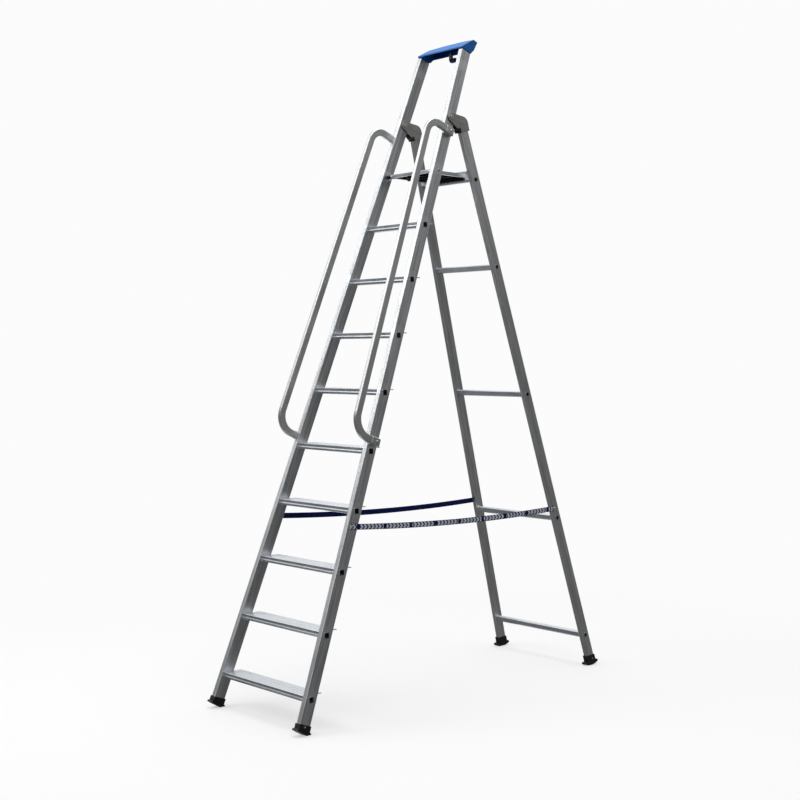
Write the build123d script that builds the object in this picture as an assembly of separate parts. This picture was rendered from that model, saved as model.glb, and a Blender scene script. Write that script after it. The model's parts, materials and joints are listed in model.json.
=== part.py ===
from build123d import *
import os
from math import cos, radians, sin, sqrt, tan

# Platform step ladder, open. Millimetres, +Z up, +Y towards the rear legs, +X to the climber's right.
# Origin: centre of the footprint, on the floor. Side pieces are made on the right and mirrored.

# Driving dimensions
RISE = 250.0                     # level to level, from tread to tread
FIRST_LEVEL = 152.4              # top of the lowest tread
TREADS = 9
FRONT_LEAN = 20.55               # degrees from the vertical
REAR_LEAN = 16.88
BASE_DEPTH = 1868.1              # front edge of the stiles to front edge of the rear legs, on the floor
FRONT_TOE_Y = -965.7             # front edge of the stiles, on the floor
STILE_HALF_WIDTH = 314.7         # outer face from the centre, at the floor
STILE_TAPER = 0.0519             # loss of half width per millimetre of height along the stile
STILE_THICK = 25.0
STILE_DEPTH = 56.6
STILE_START = 30.0               # inside the foot, along the stile from the floor line
STILE_END = 3184.3
LEG_START = 4.0
LEG_END = 2736.0
LEG_HALF_WIDTH = 312.3
LEG_TAPER = 0.0525
LEG_THICK = 21.1
LEG_DEPTH = 50.4
WALL = 2.0
FIT = 0.05                       # radial running clearance of pins
GAP = 0.3                        # clearance between neighbouring moving faces
SEAM = 0.02                      # hairline between fixed faces that meet

# Treads and rungs
TREAD_DEPTH = 90.4
TREAD_SETBACK = 9.95             # lip behind the front edge of the stiles
NOSING = 27.1
CHAMBER = 29.0                   # outer width of the hollow beam under each tread
SWAGE = 25.5                     # square tube end that goes through the stiles
SWAGE_WALL = 1.3
SWAGE_CENTRE = (15.1, -13.7)     # behind the lip, below the tread
RUNG_TOPS = (168.0, 768.3, 1378.8, 1984.2)
RUNG_SIZE = 28.0
RUNG_SWAGE = 21.0                # square tube end that goes through the legs

# Handrails
RAIL_WIDTH = 19.0
RAIL_DEPTH = 33.0
RAIL_CORNER = 4.5
RAIL_STANDOFF = 5.0
RAIL_TOP = 2765.0
RAIL_BOTTOM = 1271.0
RAIL_FRONT = -106.0
RAIL_END = 44.0
RAIL_RIM = 1.8                   # wall of the cast cups that hold the rail ends
RAIL_TOP_RADIUS = 62.0
RAIL_BOTTOM_RADIUS = 88.0

# Hinge, platform and straps
PIVOT_UP = 2840.0                # along the stile
PIN_R = 6.0
CHEEK_THICK = 5.0
DECK_LEVEL = 2402.4
DECK_HALF = 120.0
DECK_FRONT = 922.0               # from the front edge of the stiles on the floor
DECK_REAR = 1184.0
DECK_PIVOT = (931.5, 2393.0)
CROSSBAR_UP = 2476.0             # along the rear leg
CROSSBAR_R = 10.0
STRAP_WIDTH = 25.0
STRAP_THICK = 1.4
STRAP_SAG = 18.0
STRAP_FRONT = (322.0, 826.0)
STRAP_REAR = (1650.0, 803.0)

front_tilt = radians(FRONT_LEAN)
rear_tilt = radians(REAR_LEAN)
REAR_TOE_Y = FRONT_TOE_Y + BASE_DEPTH
made = {}


def lean_plane(toe_y, tilt):
    """Plane of a frame: x to the right, y to the rear across the section, z along the lean."""
    return Plane(origin=(0, toe_y, 0), x_dir=(1, 0, 0), z_dir=(0, sin(tilt), cos(tilt)))


def side_plane(frame, half_width, taper):
    """Plane of a right-hand upright: x out of its outer face, y to the rear, z along it."""
    origin = frame.from_local_coords(Vector(half_width, 0, 0))
    up = frame.from_local_coords(Vector(half_width - taper, 0, 1)) - origin
    out = frame.from_local_coords(Vector(half_width + 1, 0, taper)) - origin
    return Plane(origin=origin, x_dir=out, z_dir=up)


FRONT = lean_plane(FRONT_TOE_Y, front_tilt)
REAR = lean_plane(REAR_TOE_Y, -rear_tilt)
STILE = side_plane(FRONT, STILE_HALF_WIDTH, STILE_TAPER)
LEG = side_plane(REAR, LEG_HALF_WIDTH, LEG_TAPER)
STILE_SCALE = sqrt(1 + STILE_TAPER**2)
LEG_SCALE = sqrt(1 + LEG_TAPER**2)


def keep(name, shape):
    """Files one node's shape under its name."""
    shape.label = name
    made[name] = shape


def group(shapes):
    return Compound(children=list(shapes))


def pair(name, right):
    """Right-hand piece and its mirror image, as two nodes."""
    keep(name + "_right", right)
    keep(name + "_left", mirror(right, about=Plane.YZ))


def both(right_shapes):
    """Right-hand solids and their mirror images, for one shared node."""
    right_shapes = list(right_shapes)
    return group(right_shapes + [mirror(s, about=Plane.YZ) for s in right_shapes])


def world_y(y):
    """Distance behind the front edge of the stiles on the floor, as a model Y."""
    return FRONT_TOE_Y + y


def block(low, high):
    """Box between two opposite corners."""
    size = [b - a for a, b in zip(low, high)]
    middle = [(a + b) / 2 for a, b in zip(low, high)]
    return Pos(*middle) * Box(*size)


def prism_x(points, x_low, x_high, radius=0.0):
    """Prism along X over a closed outline of (y, z) points, corners rounded."""
    outline = make_face(Polyline(*[(0, y, z) for y, z in points], close=True))
    if radius:
        outline = fillet(outline.vertices(), radius)
    solid = extrude(outline, amount=x_high - x_low, dir=(1, 0, 0))
    return Pos(x_low, 0, 0) * solid


def square_x(y, z, size, radius, x_low, x_high):
    """Rounded square bar along X."""
    half = size / 2
    corners = [(y - half, z - half), (y + half, z - half), (y + half, z + half), (y - half, z + half)]
    return prism_x(corners, x_low, x_high, radius)


def rod_x(y, z, radius, x_low, x_high):
    """Round bar along X."""
    return Pos((x_low + x_high) / 2, y, z) * Rot(0, 90, 0) * Cylinder(radius, x_high - x_low)


def head_x(y, z, radius, height, x_face, outward=1):
    """Low domed fastener head that stands on a face across X."""
    dome = Cylinder(radius, height, align=(Align.CENTER, Align.CENTER, Align.MIN))
    dome = fillet(dome.edges().sort_by(Axis.Z)[-1], height * 0.6)
    return Pos(x_face, y, z) * Rot(0, 90 * outward, 0) * dome


def in_plane(plane, shape):
    return plane.location * shape


def wedge(frame, half_width, taper, length=3400.0):
    """The space between two tapering faces, for trimming what runs from side to side."""
    low, high = half_width, half_width - taper * length
    outline = Polyline((-low, 0, 0), (low, 0, 0), (high, 0, length), (-high, 0, length), close=True)
    solid = extrude(make_face(outline), amount=900, both=True, dir=(0, 1, 0))
    return in_plane(frame, solid)


def upright(plane, thick, depth, low, high):
    """Rectangular tube along a right-hand upright's plane."""
    outer = RectangleRounded(thick, depth, 2.6)
    inner = RectangleRounded(thick - 2 * WALL, depth - 2 * WALL, 1.2)
    tube = extrude(Pos(-thick / 2, depth / 2, low) * (outer - inner), amount=high - low)
    return in_plane(plane, tube)


# Treads -------------------------------------------------------------------------------------------

STILE_OUT = wedge(FRONT, STILE_HALF_WIDTH, STILE_TAPER)
STILE_IN = wedge(FRONT, STILE_HALF_WIDTH - STILE_THICK * STILE_SCALE - SEAM, STILE_TAPER)
STILE_RIM = wedge(FRONT, STILE_HALF_WIDTH + 1.4, STILE_TAPER)
LEG_OUT = wedge(REAR, LEG_HALF_WIDTH, LEG_TAPER)
LEG_IN = wedge(REAR, LEG_HALF_WIDTH - LEG_THICK * LEG_SCALE - SEAM, LEG_TAPER)
LEG_RIM = wedge(REAR, LEG_HALF_WIDTH + 1.2, LEG_TAPER)
REACH = 330.0


def tread_outline():
    """Tread section from its lip: ribbed top, grooved nosing, beam chamber and a thin rear flange."""
    plate = 3.2
    groove = 2.6
    top = [(0.0, -1.2), (1.2, 0.0)]
    rib_pitch = 6.0
    rib_count = 14
    for rib in range(rib_count):
        start = 3.6 + rib * rib_pitch
        top += [(start, 0.0), (start + 0.5, -0.8), (start + 2.0, -0.8), (start + 2.5, 0.0)]
    rear = [(TREAD_DEPTH - 1.0, 0.0), (TREAD_DEPTH, -1.0), (TREAD_DEPTH, -4.2), (TREAD_DEPTH - 3.0, -4.2)]
    under = [(TREAD_DEPTH - 4.0, -plate), (CHAMBER + 2.0, -plate), (CHAMBER, -plate - 2.0)]
    bottom = [(CHAMBER, -NOSING + 2.0), (CHAMBER - 2.0, -NOSING), (6.5, -NOSING), (3.2, -NOSING + 1.6)]
    nose = [(0.4, -19.0), (0.0, -17.0), (groove, -11.5), (groove, -8.0), (0.0, -5.4)]
    return top + rear + under + bottom + nose


def crossmember(outline, centre, swage, swaged_hole, outer, inner, rim):
    """Hollow extrusion from side to side; its square tube ends pass through and are belled over."""
    y, z = centre
    body = prism_x(outline, -REACH, REACH) & inner
    neck = square_x(y, z, swage, 4.0, -REACH, REACH) & outer
    bell = (square_x(y, z, swage + 3.6, 5.5, -REACH, REACH) & rim) - outer
    bore = square_x(y, z, swaged_hole, 3.0, -REACH, REACH)
    return body + neck + bell - bore


def tread(level):
    lip = world_y(level * tan(front_tilt) + TREAD_SETBACK)
    outline = [(lip + y, level + z) for y, z in tread_outline()]
    centre = (lip + SWAGE_CENTRE[0], level + SWAGE_CENTRE[1])
    bore = SWAGE - 2 * SWAGE_WALL
    return crossmember(outline, centre, SWAGE, bore, STILE_OUT, STILE_IN, STILE_RIM), centre


tread_centres = []
for number in range(TREADS):
    step, centre = tread(FIRST_LEVEL + RISE * number)
    keep(f"step_{number + 1}", step)
    tread_centres.append(centre)


# Rear rungs ---------------------------------------------------------------------------------------

def leg_middle(z):
    """Y of the middle of a rear leg's depth at height z."""
    return REAR_TOE_Y - z * tan(rear_tilt) + LEG_DEPTH / 2 / cos(rear_tilt)


rung_centres = []
for number, top in enumerate(RUNG_TOPS):
    centre = (leg_middle(top - RUNG_SIZE / 2), top - RUNG_SIZE / 2)
    y, z = centre
    half = RUNG_SIZE / 2
    bevel = 5.0
    outline = [
        (y - half + bevel, z + half), (y + half - bevel, z + half), (y + half, z + half - bevel),
        (y + half, z - half + bevel), (y + half - bevel, z - half), (y - half + bevel, z - half),
        (y - half, z - half + bevel), (y - half, z + half - bevel),
    ]
    rung = crossmember(outline, centre, RUNG_SWAGE, RUNG_SWAGE - 3.5, LEG_OUT, LEG_IN, LEG_RIM)
    keep(f"rear_rung_{number + 1}", rung)
    rung_centres.append(centre)


# Hinge geometry -----------------------------------------------------------------------------------

def on_side(plane, y, up):
    """Model (y, z) of a point given across and along a right-hand upright."""
    point = plane.from_local_coords(Vector(0, y, up))
    return point.Y, point.Z


PIVOT_Y, PIVOT_Z = on_side(STILE, STILE_DEPTH / 2, PIVOT_UP)
pivot_on_leg = REAR.to_local_coords(Vector(0, PIVOT_Y, PIVOT_Z))
HEAD_TOP = 2733.0                # along the leg, where the casting's round shoulder is centred
HEAD_FOOT = 2697.0               # along the leg, lower end of the casting's skirt


def stile_face_x(up):
    """X of the outer face of the right stile at a distance along it."""
    return STILE.from_local_coords(Vector(0, 0, up)).X


def hinge_outline():
    """Side outline of the hinge head in the rear frame's plane: eye, shoulder and skirt."""
    eye = Pos(pivot_on_leg.Y, pivot_on_leg.Z) * Circle(19.0)
    shoulder = Pos(19.0, HEAD_TOP) * Circle(36.0)
    arm = make_hull((eye + shoulder).edges())
    skirt = Pos(26.0, (HEAD_TOP + HEAD_FOOT) / 2) * Rectangle(58.0, HEAD_TOP - HEAD_FOOT)
    return arm + skirt


def hinge_slab(outline, x_low, x_high):
    """Slab of the rear frame's side outline between two X values."""
    sheet = Plane(origin=(0, 0, 0), x_dir=(0, 1, 0), z_dir=(1, 0, 0)).location * outline
    return in_plane(REAR, Pos(x_low, 0, 0) * extrude(sheet, amount=x_high - x_low))


cheek_out = stile_face_x(PIVOT_UP - 70.0) + GAP
cheek_in = stile_face_x(PIVOT_UP + 24.0) - STILE_THICK - GAP
skin_out = cheek_out + CHEEK_THICK
skin_in = cheek_in - CHEEK_THICK


def largest(shape):
    """The biggest of the solids that a cut leaves."""
    return shape.solids().sort_by(SortBy.VOLUME)[-1]


def stile_sweep(clearance):
    """Room round the stile's depth as it turns about the hinge pin, from open to folded."""
    steps = 6
    turn = (FRONT_LEAN + REAR_LEAN) / steps
    room = Part()
    for step in range(steps + 1):
        slab = Box(200, STILE_DEPTH + 2 * clearance, 900)
        place = Pos(stile_face_x(PIVOT_UP), PIVOT_Y, PIVOT_Z) * Rot(turn * step - FRONT_LEAN, 0, 0)
        room += place * slab
    return room


# Hinge heads, pins, bushes, liners and pads -------------------------------------------------------

leg_room = in_plane(LEG, block((-LEG_THICK, 0, HEAD_FOOT - 60), (0, LEG_DEPTH, LEG_END)))
STILE_CLEAR = 0.8                # room round the stile as it turns in the fork
LINER = 3.0                      # plastic lining of the fork, next to the stile's path
fork = hinge_slab(hinge_outline(), cheek_in, cheek_out)
filled = largest(fork - stile_sweep(STILE_CLEAR))
core = largest(fork - stile_sweep(STILE_CLEAR + LINER))
pad_room = in_plane(LEG, block((-60, -20, HEAD_FOOT - 2), (40, -SEAM, HEAD_FOOT + 26)))
outer_cheek = hinge_slab(hinge_outline(), cheek_out, skin_out)
inner_cheek = hinge_slab(hinge_outline(), skin_in, cheek_in)
head = core + outer_cheek + inner_cheek
head = head - leg_room - pad_room - rod_x(PIVOT_Y, PIVOT_Z, PIN_R + FIT, 0, REACH)
seam = in_plane(REAR, Pos(0, 15.0, HEAD_TOP + 4.0) * Rot(-28, 0, 0) * Box(2 * REACH, 150, 1.6))
head = head - (seam - block((skin_in + 1.0, -REACH * 4, 0), (skin_out - 1.0, REACH * 4, 4000)))
pair("hinge_head", head)

pin = rod_x(PIVOT_Y, PIVOT_Z, PIN_R, skin_in, skin_out)
pin = pin + head_x(PIVOT_Y, PIVOT_Z, 10.0, 2.6, skin_out) + head_x(PIVOT_Y, PIVOT_Z, 10.0, 2.0, skin_in, -1)
pair("hinge_pin", pin)

BUSH_R = 9.0
bush = rod_x(PIVOT_Y, PIVOT_Z, BUSH_R, cheek_in + 0.1, cheek_out - 0.1)
pair("hinge_bush", bush - rod_x(PIVOT_Y, PIVOT_Z, PIN_R + FIT, 0, REACH))

liner = largest(filled - core - leg_room)
keep("hinge_liners", both([liner - pad_room]))
pad = hinge_slab(hinge_outline(), skin_in, skin_out) & pad_room
keep("hinge_pads", both([largest(pad - stile_sweep(STILE_CLEAR))]))


# Front frame --------------------------------------------------------------------------------------

PLATFORM_Y = world_y(DECK_PIVOT[0])
PLATFORM_Z = DECK_PIVOT[1]
PLATFORM_PIN_R = 5.0
swages = Part()
for y, z in tread_centres:
    swages += square_x(y, z, SWAGE, 4.0, 0, REACH)
stile = upright(STILE, STILE_THICK, STILE_DEPTH, STILE_START, STILE_END) - swages
stile -= rod_x(PIVOT_Y, PIVOT_Z, BUSH_R, 0, REACH)
stile -= rod_x(PLATFORM_Y, PLATFORM_Z, PLATFORM_PIN_R, 0, REACH)
pair("front_stile", stile)


def side_rivets(plane, places, radius, height, x_face, outward=1):
    """Domed rivet heads on a side face of the right-hand upright, and their mirror images."""
    heads = []
    for y, up in places:
        heads.append(in_plane(plane, head_x(y, up, radius, height, x_face, outward)))
    return both(heads)


keep("stile_rivets", side_rivets(STILE, [(33, 2678), (33, 2405)], 4.5, 1.2, 0))


# Feet ---------------------------------------------------------------------------------------------

UNDERGROUND = block((-900, -2500, -200), (900, 2500, 0))


def foot(plane, thick, cap_outline, sole_outline, room):
    """Plastic cap round the end of an upright, with a flared sole that ends flat on the floor."""
    skirt = 3.0
    flare = 5.5
    cap = prism_x(cap_outline, -thick - skirt, skirt, 2.0)
    sole = prism_x(sole_outline, -thick - flare, flare, 2.0)
    return in_plane(plane, cap + sole - room) - UNDERGROUND


front_room = block((-STILE_THICK, 0, STILE_START), (0, STILE_DEPTH, 200))
front_cap = [(-3, 25), (59.6, 25), (59.6, 57), (-3, 57)]
front_sole = [(-8, 36), (-12, 28), (14, 21.5), (45, 16.5), (60, 17.5), (67, 24), (62, 32)]
pair("front_foot", foot(STILE, STILE_THICK, front_cap, front_sole, front_room))
keep("front_foot_rivets", side_rivets(STILE, [(26.5, 48)], 4.5, 1.4, 3.0))

rear_room = block((-LEG_THICK, 0, LEG_START), (0, LEG_DEPTH, 200))
rear_cap = [(-4, -2), (53.4, -2), (53.4, 37), (-4, 50)]
rear_sole = [(-17, 20), (-21, 12), (-10, 2), (4, -6), (40, -7), (63, -6), (67, 0), (60, 8)]
pair("rear_foot", foot(LEG, LEG_THICK, rear_cap, rear_sole, rear_room))
keep("rear_foot_rivets", side_rivets(LEG, [(32, 22)], 4.5, 1.4, 3.0))


# Handrails ----------------------------------------------------------------------------------------

rail_x = RAIL_STANDOFF + RAIL_WIDTH / 2
rail_path = FilletPolyline(
    (rail_x, RAIL_END, RAIL_TOP), (rail_x, RAIL_FRONT, RAIL_TOP),
    (rail_x, RAIL_FRONT, RAIL_BOTTOM), (rail_x, RAIL_END, RAIL_BOTTOM),
    radius=[RAIL_TOP_RADIUS, RAIL_BOTTOM_RADIUS],
)
rail_start = Plane(origin=rail_path @ 0, x_dir=(1, 0, 0), z_dir=rail_path % 0)
rail_section = rail_start * RectangleRounded(RAIL_WIDTH, RAIL_DEPTH, RAIL_CORNER)
rail_bore = rail_start * RectangleRounded(RAIL_WIDTH - 2 * WALL, RAIL_DEPTH - 2 * WALL, RAIL_CORNER - WALL)
rail = sweep(rail_section, path=rail_path) - sweep(rail_bore, path=rail_path)
pair("handrail", in_plane(STILE, rail))


def rail_socket(up):
    """Cast cup that holds a handrail end against the stile."""
    width = RAIL_WIDTH + RAIL_STANDOFF + RAIL_RIM
    tall = RAIL_DEPTH + 2 * RAIL_RIM
    cup_start = RAIL_END - 42.0
    length = RAIL_END + RAIL_RIM - cup_start
    cup = Pos(0, cup_start, up) * Rot(-90, 0, 0) * extrude(
        Pos(width / 2, 0) * RectangleRounded(width, tall, RAIL_CORNER + 1.0), amount=length
    )
    seat = Pos(rail_x, cup_start, up) * Rot(-90, 0, 0) * extrude(
        RectangleRounded(RAIL_WIDTH, RAIL_DEPTH, RAIL_CORNER), amount=RAIL_END - cup_start
    )
    return in_plane(STILE, cup - seat)


pair("handrail_sockets", group([rail_socket(RAIL_TOP), rail_socket(RAIL_BOTTOM)]))
socket_face = RAIL_WIDTH + RAIL_STANDOFF + RAIL_RIM
keep("handrail_bolts", side_rivets(STILE, [(30, RAIL_TOP), (30, RAIL_BOTTOM)], 7.0, 4.0, socket_face))


# Top handle and bucket hook -----------------------------------------------------------------------

HANDLE_UP = 3180.0
HANDLE_END = 150.5
HANDLE_SKIN = 3.5
SOCKET_WALL = 34.0


def handle_outline(inset=0.0):
    """Section of the handle across the ladder: sloping front, crowned top and short rear wall."""
    points = [(-2, 6), (-3, 13), (41, 63), (68, 92), (78, 92), (78, 74), (70, 29), (57, 4)]
    face = make_face(Polyline(*[(0, y, HANDLE_UP + z) for y, z in points], close=True))
    if inset:
        return offset(face, amount=-inset, kind=Kind.INTERSECTION)
    return fillet(face.vertices(), 2.5)


def handle_prism(face, half):
    return Pos(-half, 0, 0) * extrude(face, amount=2 * half, dir=(1, 0, 0))


arch_low, arch_high = HANDLE_UP + 59.0, HANDLE_UP + 94.0
arch_top = ThreePointArc((-200, 0, arch_low), (0, 0, arch_high), (200, 0, arch_low))
arch_rest = Polyline((200, 0, arch_low), (200, 0, 3100), (-200, 0, 3100), (-200, 0, arch_low))
arch = extrude(make_face([arch_top, arch_rest]), amount=200, both=True, dir=(0, 1, 0))
mouth = prism_x([(-0.5, 3160), (-0.5, HANDLE_UP + 9), (67, HANDLE_UP + 33), (67, 3160)], -116.5, 116.5)
shell = handle_prism(handle_outline(), HANDLE_END) & arch
hollow = handle_prism(handle_outline(HANDLE_SKIN), HANDLE_END - SOCKET_WALL)
hollow = hollow & (Pos(0, 0, -HANDLE_SKIN) * arch)
shell = shell - hollow - mouth
stile_room = in_plane(STILE, block((-STILE_THICK, 0, 3100), (0, STILE_DEPTH, STILE_END)))
inset = WALL + 0.6
plug_low = (-STILE_THICK + inset, inset, STILE_END - 50)
plug_high = (-inset, STILE_DEPTH - inset, STILE_END + 6)
plug = in_plane(STILE, block(plug_low, plug_high))
handle = in_plane(FRONT, shell) - both([stile_room])
handle = handle + plug + mirror(plug, about=Plane.YZ)
keep("top_handle", handle)

HOOK_X = 45.0
HOOK_CENTRE = (1157.0, 2950.0)
HOOK_WIDTH = 16.0
HOOK_OUTER_R = 17.0
HOOK_INNER_R = 6.0
hook_y, hook_z = world_y(HOOK_CENTRE[0]), HOOK_CENTRE[1]
hook_low, hook_high = HOOK_X - HOOK_WIDTH / 2, HOOK_X + HOOK_WIDTH / 2
bend = rod_x(hook_y, hook_z, HOOK_OUTER_R, hook_low, hook_high)
bend -= rod_x(hook_y, hook_z, HOOK_INNER_R, hook_low, hook_high)
bend -= block((hook_low, hook_y - 30, hook_z), (hook_high, hook_y + 30, hook_z + 30))
stem = block((hook_low, hook_y - HOOK_OUTER_R, hook_z), (hook_high, hook_y - HOOK_INNER_R, hook_z + 70))
tip = block((hook_low, hook_y + HOOK_INNER_R, hook_z), (hook_high, hook_y + HOOK_OUTER_R, hook_z + 8))
hook = (bend + stem + tip) - handle
keep("bucket_hook", hook.solids().sort_by(Axis.Z)[0])

keep("handle_rivets", side_rivets(STILE, [(12, 3154)], 4.5, 1.4, -STILE_THICK, -1))


# Straps -------------------------------------------------------------------------------------------

STRAP_IN = 269.7
STRAP_RIVET_R = 3.0


def strap_edge(rise):
    """Lower or upper edge of the sagging strap, as an arc in the side view."""
    start = (STRAP_IN, world_y(STRAP_FRONT[0]), STRAP_FRONT[1] + rise)
    finish = (STRAP_IN, world_y(STRAP_REAR[0]), STRAP_REAR[1] + rise)
    middle = [(a + b) / 2 for a, b in zip(start, finish)]
    middle[2] -= STRAP_SAG
    return ThreePointArc(start, tuple(middle), finish)


lower, upper = strap_edge(-STRAP_WIDTH / 2), strap_edge(STRAP_WIDTH / 2)
strap_face = make_face([lower, upper, Line(lower @ 0, upper @ 0), Line(lower @ 1, upper @ 1)])
strap = extrude(strap_face, amount=STRAP_THICK, dir=(1, 0, 0))
strap_ends = []
for (y, z), inwards in ((STRAP_FRONT, 14.0), (STRAP_REAR, -12.0)):
    strap_ends.append((world_y(y + inwards), z))
    strap -= rod_x(world_y(y + inwards), z, STRAP_RIVET_R + GAP, 200, REACH)
pair("strap", strap)

for name, (y, z) in zip(("strap_front_rivets", "strap_rear_rivets"), strap_ends):
    outside = STRAP_IN + STRAP_THICK + GAP
    rivet = rod_x(y, z, STRAP_RIVET_R, STRAP_IN - 8.0, outside) + head_x(y, z, 7.0, 1.8, outside)
    envelope = STILE if name == "strap_front_rivets" else LEG
    depth = STILE_DEPTH if name == "strap_front_rivets" else LEG_DEPTH
    solid_part = in_plane(envelope, block((-30, 0, 600), (0, depth, 1100)))
    keep(name, both([rivet - solid_part]))


# Rear frame ---------------------------------------------------------------------------------------

CROSS_Y, CROSS_Z = on_side(LEG, LEG_DEPTH / 2, CROSSBAR_UP)
PLUG_R = 7.9
leg = upright(LEG, LEG_THICK, LEG_DEPTH, LEG_START, LEG_END)
for y, z in rung_centres:
    leg -= square_x(y, z, RUNG_SWAGE, 4.0, 0, REACH)
leg -= rod_x(CROSS_Y, CROSS_Z, PLUG_R, 0, REACH)
pair("rear_leg", leg)

bar = rod_x(CROSS_Y, CROSS_Z, CROSSBAR_R, -REACH, REACH) & LEG_IN
keep("platform_crossbar", bar - rod_x(CROSS_Y, CROSS_Z, PLUG_R, -REACH, REACH))
leg_x = LEG.from_local_coords(Vector(0, 0, CROSSBAR_UP)).X
bar_plug = rod_x(CROSS_Y, CROSS_Z, PLUG_R, leg_x - LEG_THICK - 25, leg_x + 1.5)
bar_plug += head_x(CROSS_Y, CROSS_Z, 9.5, 2.0, leg_x + 0.7)
bar_plug -= in_plane(LEG, block((-LEG_THICK, 0, 2300), (0, LEG_DEPTH, 2600))) - rod_x(
    CROSS_Y, CROSS_Z, PLUG_R, 0, REACH
)
keep("crossbar_plugs", both([bar_plug]))
keep("leg_rivets", side_rivets(LEG, [(28, 2672)], 4.0, 1.2, 0))


# Platform -----------------------------------------------------------------------------------------

BRACKET_OUT = 132.0
FRONT_PROFILE = 932.0            # rear edge of the front profile
REAR_PROFILE = 1168.0            # front edge of the rear profile
SKIRT_REAR = 1161.0              # wall under the deck that hides the crossbar's top
SKIRT_FOOT = 2378.5


def deck_prism(points, radius=0.0):
    """Prism across the platform over an outline of (distance behind the stiles' toe, height) points."""
    return prism_x([(world_y(y), z) for y, z in points], -DECK_HALF, DECK_HALF, radius)


level = DECK_LEVEL
nose = [
    (DECK_FRONT, level - 3), (DECK_FRONT + 3, level), (FRONT_PROFILE, level), (FRONT_PROFILE, level - 16),
    (DECK_FRONT + 3, level - 16), (DECK_FRONT, level - 13), (DECK_FRONT, level - 9.5),
    (DECK_FRONT + 1.2, level - 8.5), (DECK_FRONT + 1.2, level - 7.5), (DECK_FRONT, level - 6.5),
]
keep("platform_front_profile", deck_prism(nose))

tail = [(REAR_PROFILE, level - 12), (REAR_PROFILE, level), (REAR_PROFILE + 3, level)]
tail += [(REAR_PROFILE + 3, level + 14), (REAR_PROFILE + 5, level + 17)]
tail += [(DECK_REAR - 2, level + 17), (DECK_REAR, level + 14)]
for groove in range(3):
    upper_lip = level + 10 - 7.5 * groove
    tail += [(DECK_REAR, upper_lip), (DECK_REAR - 1.2, upper_lip - 1.2), (DECK_REAR, upper_lip - 2.4)]
tail += [(DECK_REAR, level - 12)]
keep("platform_rear_profile", deck_prism(tail))

deck_top = []
deck_pitch = 11.8
for rib in range(20):
    start = FRONT_PROFILE + rib * deck_pitch
    deck_top += [(start, level), (start + 7.0, level)]
    deck_top += [(start + 7.8, level - 1.2), (start + 11.0, level - 1.2)]
deck_under = level - 5


def web_outline(rear, foot):
    """Outline of one wall that hangs from the deck's underside, from its rear face forwards."""
    return [(rear, deck_under), (rear, foot), (rear - 4, foot), (rear - 4, deck_under)]


deck_webs = web_outline(SKIRT_REAR, SKIRT_FOOT)
for web in range(4):
    deck_webs += web_outline(REAR_PROFILE - 60.0 - web * 54.0, level - 14)
deck_rear = [(REAR_PROFILE, level), (REAR_PROFILE, deck_under)]
keep("platform_deck", deck_prism(deck_top + deck_rear + deck_webs + [(FRONT_PROFILE, deck_under)]))

bracket_top = level - 1
bracket_rear = world_y(1192)
bracket = block((DECK_HALF, PLATFORM_Y, level - 17), (BRACKET_OUT, bracket_rear, bracket_top))
bracket += rod_x(PLATFORM_Y, PLATFORM_Z, 10.5, DECK_HALF, BRACKET_OUT)
bracket += block((DECK_HALF, world_y(1154), 2366), (BRACKET_OUT, bracket_rear, bracket_top))
bracket -= rod_x(CROSS_Y, CROSS_Z, CROSSBAR_R + GAP, 0, REACH)
bracket -= block((0, CROSS_Y - 60, 2300), (REACH, CROSS_Y + CROSSBAR_R + GAP, CROSS_Z))
bracket -= rod_x(PLATFORM_Y, PLATFORM_Z, PLATFORM_PIN_R + FIT, 0, REACH)
pair("platform_bracket", bracket)

stile_at_deck = stile_face_x(2571.0)
spacer = rod_x(PLATFORM_Y, PLATFORM_Z, 9.5, BRACKET_OUT + GAP, stile_at_deck) & STILE_IN
keep("platform_spacers", both([spacer - rod_x(PLATFORM_Y, PLATFORM_Z, PLATFORM_PIN_R, 0, REACH)]))
deck_pin = rod_x(PLATFORM_Y, PLATFORM_Z, PLATFORM_PIN_R, DECK_HALF + GAP, stile_at_deck + 1.4)
deck_pin += head_x(PLATFORM_Y, PLATFORM_Z, 7.5, 1.6, stile_at_deck + 0.6)
pin_room = in_plane(STILE, block((-STILE_THICK, 0, 2500), (0, STILE_DEPTH, 2650)))
deck_pin -= pin_room - rod_x(PLATFORM_Y, PLATFORM_Z, PLATFORM_PIN_R, 0, REACH)
keep("platform_pins", both([deck_pin]))

screws = [head_x(world_y(y), level - 9, 4.0, 1.5, BRACKET_OUT) for y in (975, 1050, 1125)]
keep("platform_screws", both(screws))
keep("platform_latch", block((-34, world_y(938), level - 38), (-20, world_y(950), level - 14)))


os.makedirs("parts", exist_ok=True)
for name, shape in made.items():
    export_step(shape, f"parts/{name}.step")
whole = Compound(children=list(made.values())).bounding_box()
print(len(made), "nodes", whole.min, whole.max)
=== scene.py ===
import json
import math

import bmesh
import bpy
from mathutils import Matrix, Vector

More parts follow.
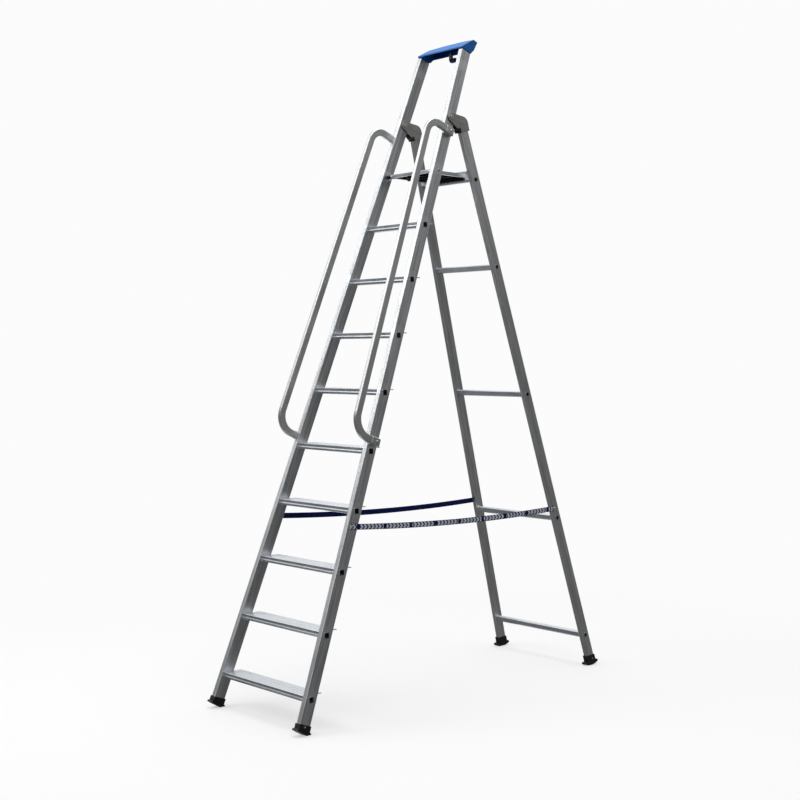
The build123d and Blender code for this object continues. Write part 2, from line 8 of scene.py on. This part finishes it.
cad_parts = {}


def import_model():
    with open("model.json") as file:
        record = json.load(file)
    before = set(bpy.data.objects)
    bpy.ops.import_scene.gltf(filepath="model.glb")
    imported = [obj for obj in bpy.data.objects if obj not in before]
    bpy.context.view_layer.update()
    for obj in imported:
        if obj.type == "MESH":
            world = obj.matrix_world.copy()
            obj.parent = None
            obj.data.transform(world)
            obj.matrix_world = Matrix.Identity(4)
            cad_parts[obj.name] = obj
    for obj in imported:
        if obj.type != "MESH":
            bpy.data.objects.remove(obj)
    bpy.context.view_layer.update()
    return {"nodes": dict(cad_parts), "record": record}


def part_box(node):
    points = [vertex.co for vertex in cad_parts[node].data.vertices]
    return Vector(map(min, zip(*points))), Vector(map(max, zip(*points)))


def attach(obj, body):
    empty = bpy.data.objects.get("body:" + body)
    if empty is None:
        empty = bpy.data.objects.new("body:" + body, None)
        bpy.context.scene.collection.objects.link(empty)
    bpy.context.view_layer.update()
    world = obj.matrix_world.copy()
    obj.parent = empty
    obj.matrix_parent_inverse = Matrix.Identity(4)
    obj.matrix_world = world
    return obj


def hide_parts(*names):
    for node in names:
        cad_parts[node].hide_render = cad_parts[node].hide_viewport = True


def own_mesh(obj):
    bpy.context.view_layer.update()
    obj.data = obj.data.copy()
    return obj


# Platform step ladder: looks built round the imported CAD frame. Metres, +Z up, the ladder's front faces -Y.

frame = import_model()

# What the frame says about the ladder ---------------------------------------------------------------


def middle(node):
    """Centre of a CAD node's box."""
    low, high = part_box(node)
    return (low + high) / 2


def lean_of(low_node, high_node):
    """Lean of a frame towards +Y, in radians, from two of its cross members."""
    run = middle(high_node) - middle(low_node)
    return math.atan2(run.y, run.z)


FRONT_LEAN = lean_of("step_1", "step_9")
REAR_LEAN = lean_of("rear_rung_1", "rear_rung_4")
STEP_RISE = (middle("step_9").z - middle("step_1").z) / 8
SLOTS = {part["node"]: part["material_slot"] for part in frame["record"]["subparts"]}
TUBE_THICK = 0.023               # mean thickness of the stiles and legs, for working out their taper
TUBE_END_HALF = 0.0135           # half height of the tube end below a tread's or rung's top
TUBE_END_BEHIND_LIP = 0.0151     # middle of a tread's tube end behind the tread's lip


# Node materials -------------------------------------------------------------------------------------


class Nodes:
    """One node tree. Every method adds nodes and gives back the socket that carries the result."""

    def __init__(self, tree):
        self.tree = tree
        self.tree.nodes.clear()

    def put(self, socket, value):
        """Sets a socket, or links it to another node's output."""
        if isinstance(value, bpy.types.NodeSocket):
            self.tree.links.new(value, socket)
        else:
            socket.default_value = value

    def add(self, kind, inputs=None, **settings):
        node = self.tree.nodes.new(kind)
        for name, value in settings.items():
            setattr(node, name, value)
        for name, value in (inputs or {}).items():
            self.put(node.inputs[name], value)
        return node

    def math(self, operation, first, second=0.0, third=0.0):
        node = self.add("ShaderNodeMath", operation=operation)
        for socket, value in zip(node.inputs, (first, second, third)):
            self.put(socket, value)
        return node.outputs[0]

    def place(self, origin=(0, 0, 0), tilt=0.0, scale=(1, 1, 1), taper=0.0):
        """Model coordinates seen along a tube that leans by tilt and tapers inwards, divided by scale."""
        model = self.add("ShaderNodeTexCoord").outputs["Object"]
        inputs = {"Vector": model, "Location": origin, "Rotation": (-tilt, taper, 0), "Scale": scale}
        return self.add("ShaderNodeMapping", inputs, vector_type="TEXTURE").outputs[0]

    def axes(self, vector):
        return self.add("ShaderNodeSeparateXYZ", {"Vector": vector}).outputs

    def noise(self, vector, scale, detail=3.0, roughness=0.5, distortion=0.0):
        inputs = {"Vector": vector, "Scale": scale, "Detail": detail}
        inputs.update({"Roughness": roughness, "Distortion": distortion})
        return self.add("ShaderNodeTexNoise", inputs).outputs["Fac"]

    def cells(self, vector, scale):
        return self.add("ShaderNodeTexVoronoi", {"Vector": vector, "Scale": scale}).outputs["Distance"]

    def remap(self, value, low, high, to_low=0.0, to_high=1.0, smooth=False):
        inputs = {"Value": value, "From Min": low, "From Max": high, "To Min": to_low, "To Max": to_high}
        kind = "SMOOTHSTEP" if smooth else "LINEAR"
        return self.add("ShaderNodeMapRange", inputs, interpolation_type=kind, clamp=True).outputs["Result"]

    def mix(self, factor, first, second):
        """Mixes two colours; a colour may be a socket or three numbers."""
        node = self.add("ShaderNodeMix", data_type="RGBA")
        colours = [c if isinstance(c, bpy.types.NodeSocket) else (*c, 1.0) for c in (first, second)]
        for socket, value in zip((node.inputs[0], node.inputs[6], node.inputs[7]), (factor, *colours)):
            self.put(socket, value)
        return node.outputs[2]


class Shader(Nodes):
    """One material with a principled surface."""

    def __init__(self, name):
        self.material = bpy.data.materials.new(name)
        self.material.use_nodes = True
        super().__init__(self.material.node_tree)
        self.surface = self.add("ShaderNodeBsdfPrincipled")
        self.output = self.add("ShaderNodeOutputMaterial", {"Surface": self.surface.outputs[0]})

    def set(self, **inputs):
        """Sets the surface shader's sockets; an underscore in a name stands for a space."""
        for name, value in inputs.items():
            self.put(self.surface.inputs[name.replace("_", " ")], value)

    def bump(self, *layers):
        """Stacks (height, strength, distance) layers of bump on the surface."""
        normal = None
        for height, strength, distance in layers:
            node = self.add("ShaderNodeBump", {"Height": height, "Strength": strength, "Distance": distance})
            if normal:
                self.put(node.inputs["Normal"], normal)
            normal = node.outputs[0]
        self.put(self.surface.inputs["Normal"], normal)


def swage_distance(shader, place):
    """Distance on a stile's side face from the nearest tread's tube end."""
    pitch = STEP_RISE / math.cos(FRONT_LEAN)
    _, across, along = shader.axes(place)
    turns = shader.math("DIVIDE", along, pitch)
    nearest = shader.math("SUBTRACT", turns, shader.math("ROUND", turns))
    up = shader.math("MULTIPLY", nearest, pitch)
    square = shader.math("ADD", shader.math("POWER", up, 2.0), shader.math("POWER", across, 2.0))
    return shader.math("SQRT", square)


RIB_PITCH = 0.0062               # ribs across a stile's narrow face


def extrusion(name, tint, lean, taper, origin, worn_round_treads):
    """Mill-finish tube: ribbed narrow faces, painted shade in the rib grooves, die lines, streaks, smudges,
    scuffs and rubbed patches.
    """
    s = Shader(name)
    place = s.place(origin, lean, taper=taper)
    lines = s.place(origin, lean, (1, 1, 90), taper)
    ribs = s.math("SINE", s.math("MULTIPLY", s.axes(place)[0], 2 * math.pi / RIB_PITCH))
    streaks = s.noise(lines, 220, 4.0, 0.65)
    fine = s.noise(lines, 900, 2.0)
    smudge = s.noise(place, 9, 4.0, 0.6, 0.4)
    scuffs = s.remap(s.noise(s.place(origin, lean + 0.5, (0.5, 0.5, 6)), 60, 5.0, 0.7), 0.62, 0.72)
    colour = s.mix(s.remap(streaks, 0.3, 0.7), [0.86 * c for c in tint], [1.06 * c for c in tint])
    colour = s.mix(s.remap(smudge, 0.45, 0.75, 0.0, 0.35), colour, [0.8 * c for c in tint])
    bands = s.noise(s.place(origin, lean, (1, 1, 22), taper), 95, 3.0, 0.6)
    colour = s.mix(s.remap(bands, 0.42, 0.62, 0.0, 0.6), colour, [0.5 * c for c in tint])
    # Painted shade: the colour darkens in the troughs of the ribs, where shade would fall.
    colour = s.mix(s.remap(ribs, -1.0, -0.2, 0.4, 0.0), colour, [0.45 * c for c in tint])
    dull = s.math("ADD", s.math("MULTIPLY", smudge, 0.7), s.math("MULTIPLY", fine, 0.3))
    rough = s.remap(dull, 0.3, 0.7, 0.27, 0.43)
    if worn_round_treads:
        distance = swage_distance(s, place)
        ragged = s.math("ADD", distance, s.math("MULTIPLY", s.math("SUBTRACT", smudge, 0.5), 0.03))
        rubbed = s.remap(ragged, 0.018, 0.034, 1.0, 0.0, smooth=True)
        colour = s.mix(s.math("MULTIPLY", rubbed, 0.55), colour, [1.2 * c for c in tint])
        rough = s.math("SUBTRACT", rough, s.math("MULTIPLY", rubbed, 0.08))
    rough = s.math("ADD", rough, s.math("MULTIPLY", scuffs, 0.12))
    s.set(Base_Color=colour, Metallic=1.0, Roughness=rough)
    s.bump((ribs, 0.35, 0.0004), (streaks, 0.12, 0.0006), (fine, 0.1, 0.0002), (scuffs, 0.12, 0.0003))
    return s.material


def tread_metal(name, tint):
    """Bright extrusion that runs along X: die lines across the ladder, smudges and boot scuffs."""
    s = Shader(name)
    lines = s.place(scale=(60, 1, 1))
    streaks = s.noise(lines, 260, 4.0, 0.6)
    smudge = s.noise(s.place(), 14, 4.0, 0.6, 0.5)
    boots = s.remap(s.noise(s.place(scale=(3, 0.7, 1)), 55, 5.0, 0.7), 0.58, 0.7)
    colour = s.mix(s.remap(streaks, 0.3, 0.7), [0.88 * c for c in tint], [1.05 * c for c in tint])
    colour = s.mix(s.math("MULTIPLY", boots, 0.3), colour, [0.72 * c for c in tint])
    rough = s.math("ADD", s.remap(smudge, 0.3, 0.7, 0.24, 0.38), s.math("MULTIPLY", boots, 0.15))
    s.set(Base_Color=colour, Metallic=1.0, Roughness=rough)
    s.bump((streaks, 0.14, 0.0005), (boots, 0.1, 0.0003))
    return s.material


def satin_tube(name, tint, lean):
    """Satin bent tube: soft draw lines, a fine grain and handled, smoother patches."""
    s = Shader(name)
    lines = s.place(tilt=lean, scale=(1, 1, 70))
    streaks = s.noise(lines, 300, 4.0, 0.6)
    hands = s.noise(s.place(scale=(1, 1, 2)), 7, 3.0, 0.55)
    grain = s.noise(s.place(), 1400, 2.0)
    colour = s.mix(s.remap(streaks, 0.3, 0.7), [0.9 * c for c in tint], [1.04 * c for c in tint])
    s.set(Base_Color=colour, Metallic=1.0, Roughness=s.remap(hands, 0.3, 0.7, 0.3, 0.45))
    s.bump((streaks, 0.1, 0.0004), (grain, 0.08, 0.0002))
    return s.material


def casting(name, tint):
    """Grey coated die casting: fine orange peel, dust in patches and rubbed, lighter spots."""
    s = Shader(name)
    place = s.place()
    peel = s.noise(place, 700, 3.0, 0.6)
    cloud = s.noise(place, 26, 4.0, 0.6)
    chips = s.remap(s.noise(place, 190, 4.0, 0.7), 0.66, 0.72)
    colour = s.mix(s.remap(cloud, 0.3, 0.7), [0.82 * c for c in tint], [1.12 * c for c in tint])
    colour = s.mix(s.math("MULTIPLY", chips, 0.5), colour, (0.55, 0.55, 0.54))
    s.set(Base_Color=colour, Metallic=0.55, Roughness=s.remap(cloud, 0.3, 0.7, 0.38, 0.56))
    s.bump((peel, 0.22, 0.0003), (chips, 0.25, 0.0002))
    return s.material


def moulded(name, tint, gloss, grain_size, scuff_tint, scuff_share):
    """Moulded plastic: spark-eroded grain, faint flow marks and scuffs that dull and lighten it."""
    s = Shader(name)
    place = s.place()
    grain = s.cells(place, 1.0 / grain_size)
    flow = s.noise(s.place(scale=(4, 1, 1)), 30, 3.0, 0.5, 0.6)
    scuffs = s.remap(s.noise(s.place(scale=(1, 2.5, 0.8)), 120, 5.0, 0.75), 0.58, 0.7)
    colour = s.mix(s.remap(flow, 0.3, 0.7), [0.86 * c for c in tint], [1.12 * c for c in tint])
    colour = s.mix(s.math("MULTIPLY", scuffs, scuff_share), colour, scuff_tint)
    rough = s.math("ADD", s.remap(flow, 0.3, 0.7, gloss, gloss + 0.1), s.math("MULTIPLY", scuffs, 0.14))
    s.set(Base_Color=colour, Roughness=rough, IOR=1.5)
    s.bump((grain, 0.16, 0.0003), (scuffs, 0.1, 0.0002))
    return s.material


def plated(name, tint):
    """Zinc-plated steel: spangled tone and a little tarnish."""
    s = Shader(name)
    place = s.place()
    spangle = s.noise(place, 320, 3.0, 0.6)
    tarnish = s.remap(s.noise(place, 90, 4.0, 0.7), 0.5, 0.75)
    colour = s.mix(spangle, [0.85 * c for c in tint], [1.15 * c for c in tint])
    colour = s.mix(s.math("MULTIPLY", tarnish, 0.4), colour, (0.36, 0.34, 0.31))
    s.set(Base_Color=colour, Metallic=1.0, Roughness=s.remap(spangle, 0.3, 0.7, 0.22, 0.4))
    s.bump((spangle, 0.15, 0.0002))
    return s.material


def taper_of(tube):
    """Turn of a tapering tube about Y: an upright leans inwards as it rises."""
    low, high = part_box(tube)
    run = high.x - low.x - TUBE_THICK
    inwards = math.atan2(run, high.z - low.z)
    return -inwards if low.x > 0 else inwards


def tube_end_centre(node):
    """Middle of the tube end that a tread or rung is hung on, in the side view."""
    low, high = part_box(node)
    y = low.y + TUBE_END_BEHIND_LIP if node.startswith("step") else (low.y + high.y) / 2
    return (0.0, y, low.z + TUBE_END_HALF)


STILE_TINT = (0.86, 0.88, 0.90)
LEG_TINT = (0.92, 0.94, 0.95)


def carried_over_materials():
    """One material for each slot, and one for each frame where the grain follows a lean."""
    extrusions = {}
    for side in ("right", "left"):
        stile, leg = "front_stile_" + side, "rear_leg_" + side
        front_end, rear_end = tube_end_centre("step_1"), tube_end_centre("rear_rung_1")
        extrusions[stile] = extrusion(
            "aluminium_" + stile, STILE_TINT, FRONT_LEAN, taper_of(stile), front_end, True
        )
        extrusions[leg] = extrusion(
            "aluminium_" + leg, LEG_TINT, REAR_LEAN, taper_of(leg), rear_end, False
        )
    by_slot = {
        "tread_aluminium": tread_metal("aluminium_tread", (0.80, 0.84, 0.89)),
        "handrail_aluminium": satin_tube("aluminium_handrail", (0.74, 0.75, 0.75), FRONT_LEAN),
        "cast_grey": casting("cast_grey", (0.42, 0.412, 0.40)),
        "blue_plastic": moulded("blue_plastic", (0.001, 0.14, 0.48), 0.45, 0.0011, (0.1, 0.24, 0.55), 0.2),
        # Painted shade: this navy is a darkened copy of the blue plastic, standing in for the shade on the
        # parts in this slot.
        "navy_plastic": moulded("navy_plastic", (0.003, 0.008, 0.07), 0.38, 0.0011, (0.05, 0.07, 0.16), 0.2),
        "black_plastic": moulded(
            "black_plastic", (0.004, 0.004, 0.0045), 0.42, 0.0013, (0.07, 0.07, 0.066), 0.3
        ),
        "steel": plated("zinc_steel", (0.62, 0.63, 0.64)),
    }
    for name, node in frame["nodes"].items():
        material = extrusions.get(name) or by_slot.get(SLOTS[name])
        if material:
            node.data.materials.clear()
            node.data.materials.append(material)


# Webbing straps -------------------------------------------------------------------------------------

STRAP_WIDTH = 0.025
STRAP_THICK = 0.0014
SELVEDGE = 0.0012                # width over which the strap thins at its edges
YARN = 0.0011
PRINT_REPEAT = 0.153             # one printed block and the gap after it
PRINT_LENGTH = 0.135
PRINT_START = 0.097              # how far into a block the strap begins
PRINT_HALF_WIDTH = 0.0104
CHEVRON_PITCH = 0.021
CHEVRON_SHARE = 0.6              # pale share of each chevron's pitch
CHEVRON_SLOPE = 0.9
STRAP_ROWS = 420
STRAP_COLUMNS = 10
RIPPLE = 0.0007


def webbing(name, printed):
    """Woven polyester strap: ribs of weft, a selvedge, and on its outer face pale woven chevrons."""
    s = Shader(name)
    uv = s.add("ShaderNodeUVMap", uv_map="along_across").outputs[0]
    along, across, _ = s.axes(uv)
    weft = s.math("SINE", s.math("MULTIPLY", along, 2 * math.pi / YARN))
    warp = s.math("SINE", s.math("MULTIPLY", across, 2 * math.pi / (YARN * 1.3)))
    weave = s.math("MULTIPLY", weft, warp)
    fuzz = s.noise(s.place(), 800, 3.0, 0.6)
    wear = s.noise(s.place(), 22, 4.0, 0.6)
    navy = s.mix(s.remap(weave, -1, 1), (0.0006, 0.006, 0.075), (0.001, 0.011, 0.12))
    if printed:
        blocks = s.math("DIVIDE", s.math("ADD", along, PRINT_START), PRINT_REPEAT)
        block = s.math("FRACT", blocks)
        inside = s.math("LESS_THAN", block, PRINT_LENGTH / PRINT_REPEAT)
        centred = s.math("ABSOLUTE", across)
        inside = s.math("MULTIPLY", inside, s.math("LESS_THAN", centred, PRINT_HALF_WIDTH))
        slant = s.math("ADD", along, s.math("MULTIPLY", centred, CHEVRON_SLOPE))
        stripe = s.math("FRACT", s.math("DIVIDE", slant, CHEVRON_PITCH))
        pale = s.math("MULTIPLY", inside, s.math("LESS_THAN", stripe, CHEVRON_SHARE))
        ivory = s.mix(s.remap(weave, -1, 1), (0.74, 0.80, 0.92), (0.88, 0.92, 0.97))
        navy = s.mix(pale, navy, ivory)
    colour = s.mix(s.remap(wear, 0.45, 0.75, 0.0, 0.14), navy, (0.06, 0.08, 0.12))
    rough = s.remap(fuzz, 0.3, 0.7, 0.72, 0.9)
    s.set(Base_Color=colour, Roughness=rough, Sheen_Weight=0.04, Specular_IOR_Level=0.1)
    s.bump((weave, 0.5, 0.0003), (fuzz, 0.2, 0.0002))
    return s.material


def new_object(name, mesh_data, materials):
    piece = bpy.data.objects.new(name, mesh_data)
    bpy.context.scene.collection.objects.link(piece)
    for material in materials:
        mesh_data.materials.append(material)
    return piece


def smooth(piece, angle=35.0):
    """Smooth shading that keeps edges sharper than the angle."""
    piece.data.shade_smooth()
    piece.data.set_sharp_from_angle(angle=math.radians(angle))


def strap_section():
    """Outline of the strap's section as (across, out) points: the outer face, then the inner one back."""
    outer = []
    for column in range(STRAP_COLUMNS + 1):
        across = -STRAP_WIDTH / 2 + STRAP_WIDTH * column / STRAP_COLUMNS
        edge = min(1.0, (STRAP_WIDTH / 2 - abs(across)) / SELVEDGE)
        outer.append((across, STRAP_THICK / 2 * (0.35 + 0.65 * math.sqrt(max(edge, 0.0)))))
    return outer + [(across, -out) for across, out in reversed(outer)]


def strap(side):
    """A strap from stile to leg: the CAD solid's sag and place, thinner selvedges and a slight ripple."""
    sign = 1 if side == "right" else -1
    low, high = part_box("strap_" + side)
    x_mid = (low.x + high.x) / 2
    start = Vector((x_mid, low.y, middle("strap_front_rivets").z))
    finish = Vector((x_mid, high.y, middle("strap_rear_rivets").z))
    sag = (start.z + finish.z) / 2 - STRAP_WIDTH / 2 - low.z
    length = (finish - start).length
    out = Vector((sign, 0, 0))
    outline = strap_section()
    bm = bmesh.new()
    uv = bm.loops.layers.uv.new("along_across")
    rings = []
    for row in range(STRAP_ROWS + 1):
        t = row / STRAP_ROWS
        centre = start.lerp(finish, t)
        centre.z -= 4 * sag * t * (1 - t)
        slope = (finish.z - start.z - 4 * sag * (1 - 2 * t)) / (finish.y - start.y)
        across = Vector((0, -slope, 1)).normalized()
        ripple = RIPPLE * math.sin(17.0 * t) * math.sin(math.pi * t)
        ring = []
        for v, h in outline:
            twist = ripple * (v / STRAP_WIDTH * 2)
            ring.append(bm.verts.new(centre + across * v + out * (h + twist)))
        rings.append((ring, t * length))
    count = len(outline)
    for (ring, along), (next_ring, next_along) in zip(rings, rings[1:]):
        for i in range(count):
            j = (i + 1) % count
            face = bm.faces.new((ring[i], next_ring[i], next_ring[j], ring[j]))
            face.material_index = 0 if i < STRAP_COLUMNS else 1
            values = ((along, outline[i][0]), (next_along, outline[i][0]))
            values += ((next_along, outline[j][0]), (along, outline[j][0]))
            for loop, value in zip(face.loops, values):
                loop[uv].uv = value
    bm.faces.new(rings[0][0])
    bm.faces.new(rings[-1][0])
    bmesh.ops.recalc_face_normals(bm, faces=bm.faces)
    data = bpy.data.meshes.new("webbing_" + side)
    bm.to_mesh(data)
    bm.free()
    piece = new_object("webbing_" + side, data, [webbing_printed, webbing_plain])
    smooth(piece)
    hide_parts("strap_" + side)
    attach(piece, "front_frame")
    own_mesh(piece)


webbing_printed = webbing("webbing_printed", True)
webbing_plain = webbing("webbing_plain", False)
carried_over_materials()
for side in ("right", "left"):
    strap(side)


# Studio ---------------------------------------------------------------------------------------------

CAMERA_PLACE = Vector((4.45648, -4.25086, 1.53692))
CAMERA_YAW = 0.7493418
CAMERA_PITCH = -0.0316378
CAMERA_ROLL = 0.0009884
CAMERA_LENS = 59.087


def camera():
    """Camera at the photograph's viewing angle."""
    forward = Vector((
        -math.cos(CAMERA_YAW) * math.cos(CAMERA_PITCH),
        math.sin(CAMERA_YAW) * math.cos(CAMERA_PITCH),
        math.sin(CAMERA_PITCH),
    ))
    level_right = forward.cross(Vector((0, 0, 1))).normalized()
    level_up = level_right.cross(forward)
    right = math.cos(CAMERA_ROLL) * level_right + math.sin(CAMERA_ROLL) * level_up
    up = math.cos(CAMERA_ROLL) * level_up - math.sin(CAMERA_ROLL) * level_right
    data = bpy.data.cameras.new("camera")
    data.lens = CAMERA_LENS
    data.sensor_width = 36.0
    made = bpy.data.objects.new("camera", data)
    bpy.context.scene.collection.objects.link(made)
    turn = Matrix((right, up, -forward)).transposed().to_4x4()
    made.matrix_world = Matrix.Translation(CAMERA_PLACE) @ turn
    bpy.context.scene.camera = made


PALE = 0.97                      # level of the backdrop as the camera sees it


FLOOR_RADIUS = 45.0
FLOOR_DROP = 0.0005              # keeps the paper just under the feet


def floor():
    """Pale floor: half paper, half backdrop glow under the ladder, and all glow further out."""
    bm = bmesh.new()
    bmesh.ops.create_circle(bm, cap_ends=True, segments=128, radius=FLOOR_RADIUS)
    data = bpy.data.meshes.new("floor")
    bm.to_mesh(data)
    bm.free()
    s = Shader("floor_paper")
    place = s.place()
    grain = s.noise(place, 60, 4.0)
    s.set(Base_Color=s.mix(grain, (0.86, 0.86, 0.86), (0.9, 0.9, 0.9)), Roughness=0.9)
    glow = s.add("ShaderNodeEmission", {"Color": (PALE, PALE, PALE, 1.0), "Strength": 1.0})
    away = s.add("ShaderNodeVectorMath", {0: place}, operation="LENGTH").outputs["Value"]
    fade = s.remap(away, 1.6, 3.6, 0.5, 1.0, smooth=True)
    blend = s.add("ShaderNodeMixShader", {0: fade, 1: s.surface.outputs[0], 2: glow.outputs[0]})
    s.put(s.output.inputs["Surface"], blend.outputs[0])
    made = new_object("floor", data, [s.material])
    made.location.z = -FLOOR_DROP
    made.visible_glossy = False
    made.visible_diffuse = False


def world():
    """Soft studio light: bright above and behind the ladder's left, dark past its right side."""
    made = bpy.data.worlds.new("studio")
    made.use_nodes = True
    s = Nodes(made.node_tree)
    direction = s.add("ShaderNodeTexCoord").outputs["Generated"]
    x, y, z = s.axes(direction)
    side = s.math("MULTIPLY_ADD", x, 0.72, s.math("MULTIPLY", y, 0.69))
    behind = s.math("MULTIPLY_ADD", x, -0.72, s.math("MULTIPLY", y, 0.69))
    height = s.remap(z, 0.12, 0.675, 0.12, 1.0, smooth=True)
    dark = s.remap(side, 0.1, 0.75, 0.0, 1.0, smooth=True)
    dark_level = s.remap(z, -0.05, 0.6, 0.11, 0.42, smooth=True)
    backdrop = s.remap(behind, 0.35, 0.8, 0.0, 1.0, smooth=True)
    level = s.math("ADD", height, s.math("MULTIPLY", dark, s.math("SUBTRACT", dark_level, height)))
    level = s.math("ADD", level, s.math("MULTIPLY", backdrop, s.math("SUBTRACT", 0.84, level)))
    seen = s.add("ShaderNodeLightPath").outputs["Is Camera Ray"]
    light = s.math("MULTIPLY", level, s.math("SUBTRACT", 1.0, seen))
    level = s.math("ADD", light, s.math("MULTIPLY", seen, PALE))
    shade = s.add("ShaderNodeBackground", {"Strength": level})
    shade.inputs["Color"].default_value = (1.0, 1.0, 1.0, 1.0)
    output = s.add("ShaderNodeOutputWorld")
    s.put(output.inputs["Surface"], shade.outputs[0])
    bpy.context.scene.world = made


def softbox(name, place, aim, size, power):
    data = bpy.data.lights.new(name, "AREA")
    data.shape = "DISK"
    data.size = size
    data.energy = power
    made = bpy.data.objects.new(name, data)
    made.location = place
    made.rotation_euler = (Vector(aim) - Vector(place)).to_track_quat("-Z", "Y").to_euler()
    bpy.context.scene.collection.objects.link(made)


camera()
floor()
world()
softbox("key_light", (-2.5, -4.5, 5.5), (0, 0, 1.3), 3.5, 95)
softbox("top_light", (0.5, 0.5, 7.0), (0, 0, 1.0), 4.0, 130)
bpy.context.scene.view_settings.view_transform = "Standard"
